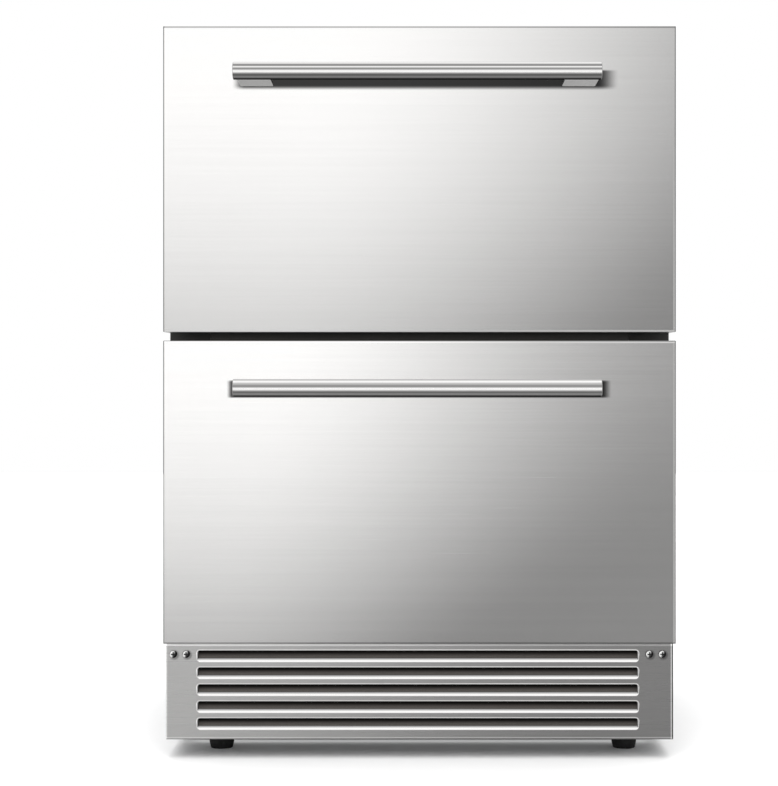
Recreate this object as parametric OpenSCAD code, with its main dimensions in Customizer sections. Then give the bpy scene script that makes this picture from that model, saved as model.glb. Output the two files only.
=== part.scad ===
// Undercounter refrigerator with two full-width drawers, a slotted toe grille and four
// levelling feet. Millimetres, +Z up, the drawers open towards -Y. The origin is on the floor,
// below the centre of the whole object's box.

/* [Cabinet] */
// Width of the cabinet and of both drawer fronts
body_w = 595; // [592:1:600]
// Height of the cabinet's top above the floor, feet wound in
body_h = 858; // [858:1:864]
// Depth from the drawer faces to the back
body_d = 594; // [594:1:600]
// Insulated thickness of the side walls and of the top
wall_t = 47.5; // [47:0.5:49]
// Height of the cabinet's lower edge above the floor
base_z = 24; // [24:0.5:26]
// Distance of the middle of the handles, slots and grille screws from the middle plane, to the right
trim_x = -2; // [-2:0.5:2]

/* [Drawer fronts] */
// Height of the lower drawer front's lower edge above the floor
front_z = 137; // [137:0.5:138]
// Height of the lower drawer front
lower_front_h = 352; // [351:0.5:353]
// Height of the upper drawer front
upper_front_h = 355; // [354:0.5:356]
// Open gap between the two fronts
front_gap = 10; // [9:0.5:11]
// Thickness of a front, from its steel face to the back of its liner
front_t = 50; // [48:1:52]
// Thickness of the closed gasket
gasket_t = 13; // [12:0.5:14]
// Distance from a front's edge in to the gasket
gasket_inset = 8; // [7:0.5:9]
// Bend radius along the front edges of the steel skins
bend_r = 3; // [2:0.5:4]

/* [Handles] */
// Length of a handle bar
handle_l = 420; // [380:5:460]
// Diameter of a handle bar
handle_dia = 20; // [18:0.5:22]
// Distance from a drawer face to the axis of its handle bar
handle_reach = 46; // [44:1:48]
// Width of a handle post along the bar
post_w = 38.5; // [30:0.5:45]
// Distance from the upper front's top edge down to the bar's axis
upper_handle_drop = 60; // [55:1:65]
// Distance from the lower front's top edge down to the bar's axis
lower_handle_drop = 55; // [50:1:60]

/* [Toe grille] */
// Width of the toe grille
grille_w = 592; // [590:1:592]
// Distance of the grille's face behind the drawer faces
grille_recess = 12; // [10:1:14]
// Number of air slots
slot_count = 5; // [3:1:5]
// Distance between neighbouring slots
slot_pitch = 19.75; // [19:0.25:20]
// Length of a slot at the grille's face
slot_l = 514.4; // [480:0.1:516]
// Height of a slot at the grille's face
slot_h = 13.6; // [12:0.1:14.6]

/* [Drawers] */
// Full travel of a drawer
travel = 400; // [300:10:400]
// Height of a drawer bin's walls
bin_h = 252; // [240:1:254]
// Number of vent slots in the upper bin's side panels
vent_count = 13; // [5:1:13]
// Number of balls in one strip of a slide's cage
ball_count = 9; // [5:1:9]

/* [Feet] */
// Largest diameter of a levelling foot
foot_dia = 29.6; // [26:0.1:32]
// Distance of the left feet from the middle plane
left_foot_x = 239; // [236:1:247]
// Distance of the right feet from the middle plane
right_foot_x = 247; // [236:1:247]
// How far a foot winds out
foot_travel = 25; // [10:1:25]

/* [Hidden] */
$fn = 48;
sheet = 1.2;
panel = 2;

// Planes from front to back
axis_y = -(handle_dia / 2 + handle_reach + body_d) / 2 + handle_dia / 2;
face_y = axis_y + handle_reach;
front_back_y = face_y + front_t;
cab_y = front_back_y + gasket_t;
back_y = face_y + body_d;
shell_back_y = back_y - 2 * sheet;
grille_y = face_y + grille_recess;

// Cabinet, openings and the interior
half_w = body_w / 2;
shell_in_w = half_w - sheet;
shell_r = 6;
chamber_half_w = half_w - wall_t;
floor_z = 181;
ceiling_z = body_h - 47;
mullion_z = 459;
mullion_h = 70;
mullion_d = 34;
chamber_r = 15;
chamber_back_y = back_y - 55;
step_y = back_y - 215;
step_z = 345;
insulation_t = 45;
base_top_z = base_z + sheet + 1.5;
plate_z = front_z;

// Fronts
upper_front_z = front_z + lower_front_h + front_gap;
gasket_w = 18;
plug_half_w = chamber_half_w - 6;
plug_back_y = cab_y + 3;
skin_lip = 14;
post_inset = 4;
post_x = handle_l / 2 - post_inset - post_w / 2;

// Bins
slide_t = 12.7;
slide_l = 420;
slide_y = cab_y + 6;
bin_half_w = chamber_half_w - slide_t;
bin_front_y = plug_back_y;
bin_back_y = slide_y + slide_l - 15;
lower_bin_z = 192;
upper_bin_z = 538;
slide_above_bin = 200;
hem_r = 3;
step_bin_y = step_y - 18;
step_bin_z = step_z + 11;

// Machine compartment
fan_r = 44;
cond_fan = [-70, slide_y + 10, 81];
evap_cover_y = chamber_back_y - 46;
evap_fan = [0, evap_cover_y + panel, 705];
hub_r = 16;
shaft_r = 3;
blade_count = 7;
blade_t = 1.6;
blade_sweep = 16;
blade_twist = 42;
comp_pos = [130, back_y - 90, 52];
comp_r = 65;
comp_h = 160;
cond_x = [-215, 75];
cond_y = [grille_y + 12, grille_y + 42];
cond_tube_z = 43;

// Feet
stud_r = 5;
foot_xs = [-left_foot_x, right_foot_x];
foot_ys = [cab_y + 30, back_y - 40];
foot_top_z = base_z - 0.5;

// ---------- shared shapes ----------

// A box from its lowest to its highest corner
module block(lo, hi) {
    translate(lo) cube(hi - lo);
}

// Extrudes a shape drawn in (x, z) along Y
module along_y(y0, y1) {
    translate([0, y1, 0]) rotate([90, 0, 0]) linear_extrude(y1 - y0) children();
}

// Extrudes a shape drawn in (y, z) along X
module along_x(x0, x1) {
    translate([x0, 0, 0]) rotate([90, 0, 90]) linear_extrude(x1 - x0) children();
}

// Extrudes a shape drawn in (x, y) along Z
module along_z(z0, z1) {
    translate([0, 0, z0]) linear_extrude(z1 - z0) children();
}

// Draws its child on the right and mirrored on the left
module both_sides() {
    children();
    mirror([1, 0, 0]) children();
}

// A rectangle with four round corners, from its lower-left to its upper-right corner
module round_rect(lo, hi, r) {
    translate([lo.x + r, lo.y]) square([hi.x - lo.x - 2 * r, hi.y - lo.y]);
    translate([lo.x, lo.y + r]) square([hi.x - lo.x, hi.y - lo.y - 2 * r]);
    for (x = [lo.x + r, hi.x - r], y = [lo.y + r, hi.y - r]) translate([x, y]) circle(r);
}

// A rectangle about x = 0 with round upper corners only
module arch_rect(half, z0, z1, r) {
    translate([-half, z0]) square([2 * half, z1 - z0 - r]);
    translate([-half + r, z0]) square([2 * (half - r), z1 - z0]);
    for (x = [-half + r, half - r]) translate([x, z1 - r]) circle(r);
}

// A rectangle from a to b, rounded at the two corners of the second axis' low end
module nose_rect(a, b, y0, y1, r) {
    translate([a, y0 + r]) square([b - a, y1 - y0 - r]);
    translate([a + r, y0]) square([b - a - 2 * r, y1 - y0]);
    for (x = [a + r, b - r]) translate([x, y0 + r]) circle(r);
}

// A slot with round ends, w wide and l long, standing on [0, 0]
module obround(w, l) {
    translate([-w / 2, w / 2]) square([w, l - w]);
    for (y = [w / 2, l - w / 2]) translate([0, y]) circle(w / 2);
}

// A folded box whose front edges are bent to radius r, with tighter corners where they meet
module bent_box(half, z0, z1, y0, y1, r) {
    corner_r = 0.4 * r;
    intersection() {
        along_z(z0, z1) nose_rect(-half, half, y0, y1, r);
        along_x(-half, half) rotate(90) mirror([0, 1]) nose_rect(z0, z1, y0, y1, r);
        along_y(y0, y1) round_rect([-half, z0], [half, z1], corner_r);
    }
}

// A round rod along Y with a low domed head towards -Y
module screw_y(x, y, z, head_r, head_h, shank_r, shank_l) {
    translate([x, y, z]) rotate([90, 0, 0]) rotate_extrude()
        polygon([[0, -shank_l], [shank_r, -shank_l], [shank_r, 0], [head_r, 0],
                 [head_r, head_h * 0.35], [head_r * 0.7, head_h * 0.85], [head_r * 0.3, head_h], [0, head_h]]);
}

// A tube of radius r along straight runs that meet square, with round bends between them
module pipe_run(points, r, bend) {
    last = len(points) - 2;
    ways = [for (i = [0 : last]) (points[i + 1] - points[i]) / norm(points[i + 1] - points[i])];
    for (i = [0 : last]) {
        start = points[i] + ways[i] * (i > 0 ? bend : 0);
        end = points[i + 1] - ways[i] * (i < last ? bend : 0);
        translate(start) rotate([0, acos(ways[i].z), atan2(ways[i].y, ways[i].x)])
            cylinder(r = r, h = norm(end - start));
    }
    for (i = [1 : last]) {
        a = ways[i - 1];
        b = ways[i];
        n = cross(a, b);
        c = points[i] + (b - a) * bend;
        multmatrix([[-b.x, a.x, n.x, c.x], [-b.y, a.y, n.y, c.y], [-b.z, a.z, n.z, c.z], [0, 0, 0, 1]])
            rotate_extrude(angle = 90) translate([bend, 0]) circle(r);
    }
}

// ---------- cabinet ----------

module outer_wrapper() {
    color("dimgray") {
        along_y(cab_y + sheet, shell_back_y) difference() {
            arch_rect(half_w, base_z, body_h, shell_r);
            translate([0, -1]) arch_rect(shell_in_w, base_z, body_h - sheet + 1, shell_r - sheet);
        }
        along_y(shell_back_y - sheet, shell_back_y) difference() {
            arch_rect(shell_in_w, base_z, body_h - sheet, shell_r - sheet);
            translate([-shell_in_w + 15, base_z - 1])
                square([2 * shell_in_w - 30, body_h - base_z - sheet - 14]);
        }
    }
}

module back_panel() {
    bead_w = 12;
    color("dimgray") {
        along_y(shell_back_y, shell_back_y + sheet)
            round_rect([-half_w + 2, plate_z + 163], [half_w - 2, body_h - 2], 3);
        along_y(shell_back_y + sheet, shell_back_y + 1.7 * sheet)
            for (x = [-180, -60, 60, 180]) translate([x, plate_z + 220]) obround(bead_w, 420);
    }
}

module front_frame() {
    color("black") along_y(cab_y, cab_y + sheet) difference() {
        arch_rect(half_w, plate_z - sheet, body_h, shell_r);
        round_rect([-chamber_half_w, floor_z], [chamber_half_w, ceiling_z], chamber_r);
    }
}

module centre_mullion() {
    groove = 1.2;
    color("black") difference() {
        bent_box(chamber_half_w, mullion_z, mullion_z + mullion_h, cab_y, cab_y + mullion_d, 1.5);
        for (z = [-1.8, 1.8, 5.4]) translate([0, 0, mullion_z + mullion_h / 2 + z])
            block([-chamber_half_w - 1, cab_y - 1, -groove / 2], [chamber_half_w + 1, cab_y + 1, groove / 2]);
    }
}

// The room inside the liner, grown by t, from y0 to the back
module chamber(t, y0) {
    along_y(y0, step_y + t) round_rect([-chamber_half_w - t, floor_z - t],
        [chamber_half_w + t, ceiling_z + t], chamber_r + t);
    along_y(y0, chamber_back_y + t) round_rect([-chamber_half_w - t, step_z - t],
        [chamber_half_w + t, ceiling_z + t], chamber_r + t);
}

module inner_liner() {
    color("whitesmoke") difference() {
        chamber(panel, cab_y + sheet);
        chamber(0, cab_y);
    }
}

module insulation_foam() {
    color("khaki") difference() {
        along_y(cab_y + sheet, shell_back_y - sheet)
            arch_rect(shell_in_w, plate_z, body_h - sheet, shell_r - sheet);
        chamber(panel, cab_y);
        block([-half_w, step_y + insulation_t, plate_z - 1], [half_w, back_y, step_z - insulation_t]);
    }
}

module compartment_plate() {
    y0 = cab_y + sheet;
    y1 = step_y + insulation_t;
    y2 = shell_back_y - sheet;
    z1 = step_z - insulation_t;
    color("silver") along_x(-shell_in_w, shell_in_w)
        polygon([[y0, plate_z - sheet], [y1 + sheet, plate_z - sheet], [y1 + sheet, z1 - sheet],
                 [y2, z1 - sheet], [y2, z1], [y1, z1], [y1, plate_z], [y0, plate_z]]);
}

// ---------- interior fittings ----------

module evaporator_cover() {
    half = 232;
    z0 = 548;
    z1 = 802;
    y0 = evap_cover_y;
    color("gainsboro") difference() {
        bent_box(half, z0, z1, y0, chamber_back_y, 4);
        block([-half + panel, y0 + panel, z0 + panel], [half - panel, chamber_back_y + 1, z1 - panel]);
        along_y(y0 - 1, y0 + panel + 1) intersection() {
            translate([evap_fan.x, evap_fan.z]) circle(fan_r + 2);
            for (k = [-4 : 4]) translate([-half, evap_fan.z + 10.5 * k - 3]) square([2 * half, 6]);
        }
        along_y(y0 - 1, y0 + panel + 1) {
            for (k = [-9 : 9]) translate([22 * k, z0 + 14]) obround(8, 34);
            for (k = [-9 : 9]) translate([22 * k, z1 - 30]) obround(8, 18);
        }
    }
}

// Finned coil between two corners: one tube runs to and fro along X, bottom to top, and turns
// back on itself at both ends
module finned_coil(lo, hi, pitch, tube_r, z0, rows, row_pitch) {
    y = (lo.y + hi.y) / 2;
    ends = [lo.x - 6, hi.x + 6];
    for (x = [lo.x : pitch : hi.x - 1]) block([x, lo.y, lo.z], [x + 0.8, hi.y, hi.z]);
    for (i = [0 : rows - 1]) translate([ends[0], y, z0 + i * row_pitch]) rotate([0, 90, 0])
        cylinder(r = tube_r, h = ends[1] - ends[0]);
    for (i = [0 : rows - 2]) translate([ends[i % 2], y, z0 + (i + 0.5) * row_pitch])
        mirror([1 - i % 2, 0, 0]) rotate([90, 0, 0]) rotate(-90) rotate_extrude(angle = 180)
            translate([row_pitch / 2, 0]) circle(tube_r);
}

module evaporator_coil() {
    lo = [-190, chamber_back_y - 34, 566];
    hi = [190, chamber_back_y, 640];
    color("silver") finned_coil(lo, hi, 10, 4, 582, 3, 21);
}

// Square fan frame with a round duct, open towards its blades, and a motor on four arms
module fan_frame(centre, outer, depth, motor_l) {
    translate(centre) {
        along_y(0, depth) difference() {
            round_rect([-outer / 2, -outer / 2], [outer / 2, outer / 2], 6);
            circle(fan_r + 2);
        }
        along_y(depth - 3, depth) difference() {
            intersection() {
                circle(fan_r + 4);
                for (a = [45, 135]) rotate(a) translate([-outer, -3]) square([2 * outer, 6]);
            }
            circle(8);
        }
        along_y(depth - 3, depth + motor_l) difference() {
            circle(17);
            circle(shaft_r + 0.06);
        }
    }
}

// A point of a blade's section: i steps from the hub to the tip, which sweeps forward, on the
// side s = -1 or 1
function blade_point(i, steps, s) =
    let (r = hub_r - 0.6 + (fan_r - hub_r) * i / steps,
         a = blade_sweep * pow(i / steps, 2) + s * blade_t / 2 / r * 180 / PI)
    [r * cos(a), r * sin(a)];

// Hub with swept, twisted blades and a shaft towards +Y
module fan_blade(centre, depth, shaft_l) {
    steps = 4;
    section = concat([for (i = [0 : steps]) blade_point(i, steps, -1)],
                     [for (i = [steps : -1 : 0]) blade_point(i, steps, 1)]);
    translate(centre) rotate([-90, 0, 0]) {
        difference() {
            cylinder(r = hub_r, h = depth);
            translate([0, 0, -1]) cylinder(r = hub_r - 2, h = depth - 3);
        }
        cylinder(r = shaft_r, h = depth + shaft_l);
        for (k = [0 : blade_count - 1]) rotate(k * 360 / blade_count)
            translate([0, 0, 1]) linear_extrude(depth - 2, twist = blade_twist, slices = 6, segments = 10)
                polygon(section);
    }
}

module evaporator_fan_frame() {
    color("black") fan_frame(evap_fan, 104, 24, 6);
}

module evaporator_fan_blade() {
    color("darkslategray") fan_blade(evap_fan + [0, 2, 0], 17, 8);
}

module led_lamp_cover() {
    y0 = cab_y + 60;
    color("white") translate([0, 0, ceiling_z]) mirror([0, 0, 1])
        intersection() {
            along_z(0, 9) round_rect([-110, y0], [110, y0 + 28], 13.9);
            along_x(-110, 110) rotate(90) mirror([0, 1]) translate([0, y0]) nose_rect(-9, 9, 0, 28, 4);
        }
}

module control_panel() {
    y0 = cab_y + 8;
    color("black") difference() {
        translate([0, 0, ceiling_z - 11]) along_z(0, 11) round_rect([-80, y0], [80, y0 + 36], 6);
        translate([0, y0 + 11, ceiling_z - 12]) {
            block([-24, 0, 0], [24, 15, 1.8]);
            for (x = [-62, -42, 42, 62]) translate([x, 7, 0]) cylinder(r = 6, h = 1.6);
        }
    }
}

// ---------- machine compartment ----------

module base_pan() {
    y0 = cab_y + sheet;
    y1 = shell_back_y - sheet;
    z0 = base_z + sheet;
    nut_r = 9.5;
    post_in = half_w - 35;
    color("darkgray") difference() {
        union() {
            block([-shell_in_w, y0, z0], [shell_in_w, y1, base_top_z]);
            block([-grille_w / 2 + sheet, grille_y + sheet, z0], [grille_w / 2 - sheet, y0, base_top_z]);
            both_sides() {
                block([shell_in_w - 1.5, y0, z0], [shell_in_w, y1, z0 + 32]);
                block([post_in, grille_y + sheet, z0], [grille_w / 2 - sheet, grille_y + sheet + 1.5, front_z - 5]);
                block([grille_w / 2 - sheet - 1.5, grille_y + sheet, z0], [grille_w / 2 - sheet, y0 + 12, front_z - 5]);
            }
            for (x = foot_xs, y = foot_ys) translate([x, y, z0]) cylinder(r = nut_r, h = 13, $fn = 6);
        }
        for (x = foot_xs, y = foot_ys) translate([x, y, 0]) cylinder(r = stud_r + 0.06, h = 60);
        for (x = grille_screw_xs) translate([x, grille_y - 1, grille_screw_z])
            rotate([-90, 0, 0]) cylinder(r = 2.1, h = 8);
    }
}

grille_screw_xs = [for (x = [-285, -270, 270, 285]) trim_x + x];
grille_screw_z = 123.8;
grille_top_z = front_z - 0.5;
slot_top_z = front_z - 8.9;

// The space of one slot: wide at the face, narrowing as its lips fold in, grown by t
module slot_space(k, t) {
    depth = 4.6;
    side_slope = 1.2;
    top = slot_top_z - k * slot_pitch + t;
    low = slot_top_z - k * slot_pitch - slot_h - t;
    half = slot_l / 2 + t;
    y0 = grille_y;
    translate([trim_x, 0, 0]) intersection() {
        along_x(-half, half) polygon([[y0 - 1, low - 1], [y0 + depth, low + depth], [y0 + depth, top - 1],
                                      [y0, top], [y0 - 1, top]]);
        along_z(low - 2, top + 1) polygon([[-half - 1, y0 - 1], [half + 1, y0 - 1], [half - side_slope, y0 + depth],
                                           [-half + side_slope, y0 + depth]]);
        along_y(y0 - 2, y0 + depth + 1) round_rect([-half, low], [half, top], 3.4 + t);
    }
}

module toe_grille() {
    half = grille_w / 2;
    color("silver") difference() {
        union() {
            difference() {
                bent_box(half, base_z, grille_top_z, grille_y, cab_y, 2.2);
                block([-half + sheet, grille_y + sheet, base_z + sheet],
                      [half - sheet, cab_y + 1, grille_top_z - sheet]);
                block([-half + sheet, grille_y + 32, base_z - 1], [half - sheet, cab_y + 1, grille_top_z + 1]);
            }
            for (k = [0 : slot_count - 1]) intersection() {
                slot_space(k, sheet);
                block([-half, grille_y + 0.2, base_z], [half, grille_y + 4, grille_top_z]);
            }
        }
        for (k = [0 : slot_count - 1]) slot_space(k, 0);
        for (x = grille_screw_xs) translate([x, grille_y - 1, grille_screw_z])
            rotate([-90, 0, 0]) cylinder(r = 2.1, h = 8);
    }
}

module toe_grille_screws() {
    color("gainsboro") for (x = grille_screw_xs)
        screw_y(x, grille_y, grille_screw_z, 4.5, 2.8, 2, 8);
}

// Air filter behind the grille's slots: a pad in a frame whose bars carry it from behind
filter_half_w = 262;
filter_z = [base_top_z, front_z - 6];
filter_y = grille_y + 4.3;
filter_border = 4;

module air_filter_frame() {
    depth = 6;
    bar_w = 4;
    inner = filter_half_w - filter_border;
    z0 = filter_z[0] + filter_border;
    z1 = filter_z[1] - filter_border;
    mid_z = (z0 + z1) / 2;
    bar_pitch = 52;
    color("black") {
        along_y(filter_y, filter_y + depth) difference() {
            round_rect([-filter_half_w, filter_z[0]], [filter_half_w, filter_z[1]], 2);
            translate([-inner, z0]) square([2 * inner, z1 - z0]);
        }
        for (k = [-4 : 4]) translate([k * bar_pitch, 0, 0])
            block([-bar_w / 2, filter_y + 4, z0], [bar_w / 2, filter_y + depth, z1]);
        block([-inner, filter_y + 4, mid_z - bar_w / 2], [inner, filter_y + depth, mid_z + bar_w / 2]);
    }
}

module air_filter_pad() {
    inner = filter_half_w - filter_border;
    color("darkslategray") block([-inner, filter_y + 1, filter_z[0] + filter_border],
        [inner, filter_y + 4, filter_z[1] - filter_border]);
}

module condenser_coil() {
    lo = [cond_x[0], cond_y[0], base_top_z + 3];
    hi = [cond_x[1], cond_y[1], front_z - 8];
    color("dimgray") {
        finned_coil(lo, hi, 7.25, 4, cond_tube_z, 4, 21);
        block([lo.x - 3, lo.y, base_top_z], [lo.x, hi.y, hi.z]);
        block([hi.x, lo.y, base_top_z], [hi.x + 3, hi.y, hi.z]);
    }
}

module condenser_fan_shroud() {
    y1 = cond_fan.y;
    color("black") {
        difference() {
            block([cond_x[0] - 3, cond_y[1], base_top_z], [cond_x[1] + 3, y1, front_z - 8]);
            block([cond_x[0] - 1, cond_y[1] - 1, base_top_z - 1], [cond_x[1] + 1, y1 - 2, front_z - 10]);
            translate([cond_fan.x, 0, cond_fan.z]) along_y(cond_y[1], y1 + 1) circle(fan_r + 2);
        }
        fan_frame(cond_fan, 98, 22, 24);
    }
}

module condenser_fan_blade() {
    color("darkslategray") fan_blade(cond_fan + [0, 2, 0], 15, 24);
}

module compressor() {
    seam_r = comp_r + 2;
    dome = 22;
    translate(comp_pos) color("black") {
        rotate_extrude() {
            square([comp_r - dome, comp_h]);
            translate([0, dome]) square([comp_r, comp_h - 2 * dome]);
            intersection() {
                union() for (z = [dome, comp_h - dome]) translate([comp_r - dome, z]) circle(dome);
                square([comp_r, comp_h]);
            }
            translate([0, comp_h * 0.56]) square([seam_r, 4]);
        }
        translate([comp_r - 8, -24, 52]) cube([26, 48, 56]);
        translate([-88, -52, -4]) difference() {
            cube([176, 104, 4]);
            for (x = [14, 162], y = [14, 90]) translate([x, y, -1]) cylinder(r = 5, h = 6);
        }
    }
}

module compressor_mounts() {
    color("black") translate(comp_pos + [-88, -52, 0]) for (x = [14, 162], y = [14, 90])
        translate([x, y, base_top_z - comp_pos.z]) rotate_extrude()
            polygon([[0, 0], [11, 0], [12, 4], [9, 9], [12, 14], [11, comp_pos.z - 4 - base_top_z],
                     [4.9, comp_pos.z - 4 - base_top_z], [4.9, comp_pos.z + 3 - base_top_z], [0, comp_pos.z + 3 - base_top_z]]);
}

module refrigerant_lines() {
    top_z = step_z - insulation_t - sheet;
    y_mid = (cond_y[0] + cond_y[1]) / 2;
    y_up = step_y + insulation_t + 7;
    x_end = cond_x[1] + 6;
    hot_z = cond_tube_z + 63;
    cold_x = 205;
    drier = [60, 138];
    comp_top_z = comp_pos.z + comp_h;
    color("peru") {
        pipe_run([[comp_pos.x, comp_pos.y - comp_r, hot_z + 20], [comp_pos.x, y_up, hot_z + 20],
                  [comp_pos.x, y_up, hot_z], [comp_pos.x, y_mid, hot_z], [x_end, y_mid, hot_z]], 3, 6);
        pipe_run([[comp_pos.x, comp_pos.y, comp_top_z], [comp_pos.x, comp_pos.y, comp_top_z + 28],
                  [comp_pos.x, comp_pos.y + 45, comp_top_z + 28], [comp_pos.x, comp_pos.y + 45, top_z]], 4, 12);
        pipe_run([[x_end, y_mid, cond_tube_z], [cold_x, y_mid, cond_tube_z],
                  [cold_x, drier[0], cond_tube_z]], 3, 14);
        translate([cold_x, drier[0], cond_tube_z]) rotate([-90, 0, 0]) cylinder(r = 9, h = drier[1] - drier[0]);
        pipe_run([[cold_x, drier[1], cond_tube_z], [cold_x, y_up, cond_tube_z], [cold_x, y_up, top_z]], 2, 10);
    }
}

module drain_pan() {
    lo = [-222, back_y - 150, base_top_z];
    hi = [12, back_y - 24, base_top_z + 38];
    color("gray") difference() {
        along_z(lo.z, hi.z) round_rect([lo.x, lo.y], [hi.x, hi.y], 10);
        along_z(lo.z + panel, hi.z + 1) round_rect([lo.x + panel, lo.y + panel], [hi.x - panel, hi.y - panel], 8);
    }
}

inlet_pos = [-232, 150];
rear_z1 = step_z - insulation_t - 1;

module rear_cover() {
    color("dimgray") along_y(shell_back_y, shell_back_y + sheet) difference() {
        round_rect([-half_w + 4, base_z + 5], [half_w - 4, rear_z1], 3);
        for (i = [-8 : 13], j = [0 : 3]) translate([i * 20, base_z + 42 + j * 55]) obround(7, 38);
        translate(inlet_pos) square([28, 20], center = true);
    }
}

module rear_screws() {
    z_low = base_z + 16;
    z_cover = rear_z1 - 10;
    z_panel = plate_z + 175;
    z_top = body_h - 10;
    color("gainsboro") for (x = [-288, 288], z = [z_low, z_cover, z_panel, (z_panel + z_top) / 2, z_top])
        translate([x, shell_back_y + sheet, z]) rotate([-90, 0, 0]) rotate_extrude()
            polygon([[0, 0], [4, 0], [4, 0.4], [2.5, sheet], [0, sheet]]);
}

module power_inlet() {
    color("black") translate([inlet_pos.x, 0, inlet_pos.y]) {
        difference() {
            union() {
                along_y(shell_back_y + sheet, back_y) round_rect([-17, -13], [17, 13], 3);
                along_y(shell_back_y - 22, shell_back_y + sheet) square([27.6, 19.6], center = true);
            }
            along_y(shell_back_y - 15, back_y + 1) square([24, 16], center = true);
        }
        for (p = [[-7, 2], [0, -3], [7, 2]])
            block([p.x - 1, shell_back_y - 15, p.y - 2], [p.x + 1, shell_back_y - 5, p.y + 2]);
    }
}

// ---------- telescopic slides ----------

// A channel of the slide drawn from the liner's wall inwards: web from u0 to u1, flanges out to
// u2, lips l high
module channel(u0, u1, u2, v, l) {
    translate([u0, -v]) square([u1 - u0, 2 * v]);
    for (m = [0, 1]) mirror([0, m]) {
        translate([min(u0, u2), v - sheet]) square([abs(u2 - u0), sheet]);
        translate([u2 > u1 ? u2 - sheet : u2, v - l]) square([sheet, l]);
    }
}

// Extrudes a slide's section on both sides of the chamber, z0 high
module on_both_walls(z0, y0, y1) {
    both_sides() along_y(y0, y1) translate([chamber_half_w, z0]) mirror([1, 0]) children();
}

module slide_outer(z0) {
    color("silver") on_both_walls(z0, slide_y, slide_y + slide_l) channel(0, sheet, 9.5, 22.5, 4);
}

module slide_middle(z0) {
    color("gainsboro") on_both_walls(z0, slide_y, slide_y + slide_l) channel(3.2, 4.4, 11.2, 16.5, 4);
}

module slide_inner(z0) {
    color("silver") on_both_walls(z0, slide_y, slide_y + slide_l) {
        translate([slide_t - sheet, -10.5]) square([sheet, 21]);
        for (m = [0, 1]) mirror([0, m]) {
            translate([6, 9.3]) square([slide_t - 6, sheet]);
            translate([6, 6.5]) square([sheet, 4]);
        }
    }
}

// Cage strips with their balls, in the two ball tracks above and below the middle channel
module slide_balls(z0) {
    ball_r = 2.38;
    pitch = 20;
    strip_l = (ball_count - 1) * pitch + 16;
    tracks = [[5.8, 18.9, slide_y + slide_l - strip_l - 10], [7.4, 12.9, slide_y + 10]];
    color("whitesmoke") both_sides() for (t = tracks, m = [-1, 1])
        translate([chamber_half_w - t[0], t[2], z0 + m * t[1]]) {
            block([-1.8, 0, -0.4], [1.8, strip_l, 0.4]);
            for (k = [0 : ball_count - 1]) translate([0, 8 + k * pitch, 0]) sphere(ball_r);
        }
}

// ---------- drawers ----------

module front_skin(z0, h, handle_z) {
    inside = half_w - 1;
    color("silver") difference() {
        bent_box(half_w, z0, z0 + h, face_y, front_back_y - panel, bend_r);
        bent_box(inside, z0 + 1, z0 + h - 1, face_y + 1, front_back_y - panel - 1, bend_r - 1);
        block([-half_w + skin_lip, face_y + 10, z0 + skin_lip], [half_w - skin_lip, front_back_y, z0 + h - skin_lip]);
        post_holes(handle_z, face_y - 1, face_y + 5, 2.7);
    }
}

module post_holes(handle_z, y0, y1, r) {
    for (x = [-post_x, post_x]) translate([trim_x + x, 0, handle_z]) along_y(y0, y1) circle(r);
}

// The plug on a front's liner that fills its opening in the cabinet, shrunk by t
module plug(z0, z1, t) {
    back = front_back_y - panel;
    translate([0, plug_back_y - t + back, 0]) mirror([0, 1, 0])
        bent_box(plug_half_w - t, z0 + t, z1 - t, back, plug_back_y - t, 6 - t);
}

module front_foam(z0, h, handle_z, plug_z0, plug_z1) {
    back = front_back_y - panel;
    color("khaki") difference() {
        union() {
            bent_box(half_w - 1, z0 + 1, z0 + h - 1, face_y + 1, back - 1, bend_r - 1);
            block([-half_w + skin_lip, back - 2, z0 + skin_lip], [half_w - skin_lip, back, z0 + h - skin_lip]);
            plug(plug_z0, plug_z1, panel);
        }
        post_holes(handle_z, face_y, face_y + 8, 6);
    }
}

module front_liner(z0, h, plug_z0, plug_z1) {
    back = front_back_y - panel;
    color("whitesmoke") difference() {
        union() {
            along_y(back, front_back_y) round_rect([-half_w + 4, z0 + 4], [half_w - 4, z0 + h - 4], 4);
            plug(plug_z0, plug_z1, 0);
        }
        plug(plug_z0, plug_z1, panel);
    }
}

// One layer of the gasket's ring, inset from its full width on both edges
module gasket_layer(z0, h, y0, y1, inset) {
    o = gasket_inset + inset;
    i = gasket_inset + gasket_w - inset;
    along_y(y0, y1) difference() {
        round_rect([-half_w + o, z0 + o], [half_w - o, z0 + h - o], 7);
        round_rect([-half_w + i, z0 + i], [half_w - i, z0 + h - i], 2);
    }
}

module gasket(z0, h) {
    y = front_back_y;
    color("dimgray") {
        gasket_layer(z0, h, y, y + 3, 3);
        gasket_layer(z0, h, y + 3, y + 6, 0.5);
        gasket_layer(z0, h, y + 6, y + 8, 3);
        gasket_layer(z0, h, y + 8, y + gasket_t, 0);
    }
}

module handle_bar(z) {
    r = handle_dia / 2;
    ch = 1;
    color("gainsboro") translate([trim_x - handle_l / 2, axis_y, z]) rotate([0, 90, 0]) rotate_extrude()
        polygon([[0, 0], [r - ch, 0], [r, ch], [r, handle_l - ch], [r - ch, handle_l], [0, handle_l]]);
}

module handle_posts(z) {
    r = handle_dia / 2;
    color("silver") difference() {
        for (x = [-post_x, post_x]) translate([trim_x + x, 0, 0]) along_y(axis_y + 6, face_y)
            round_rect([-post_w / 2, z - r], [post_w / 2, z + r], 1.5);
        translate([-handle_l, axis_y, z]) rotate([0, 90, 0]) cylinder(r = r, h = 2 * handle_l);
        post_holes(z, face_y - 20, face_y + 1, 2.6);
    }
}

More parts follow.
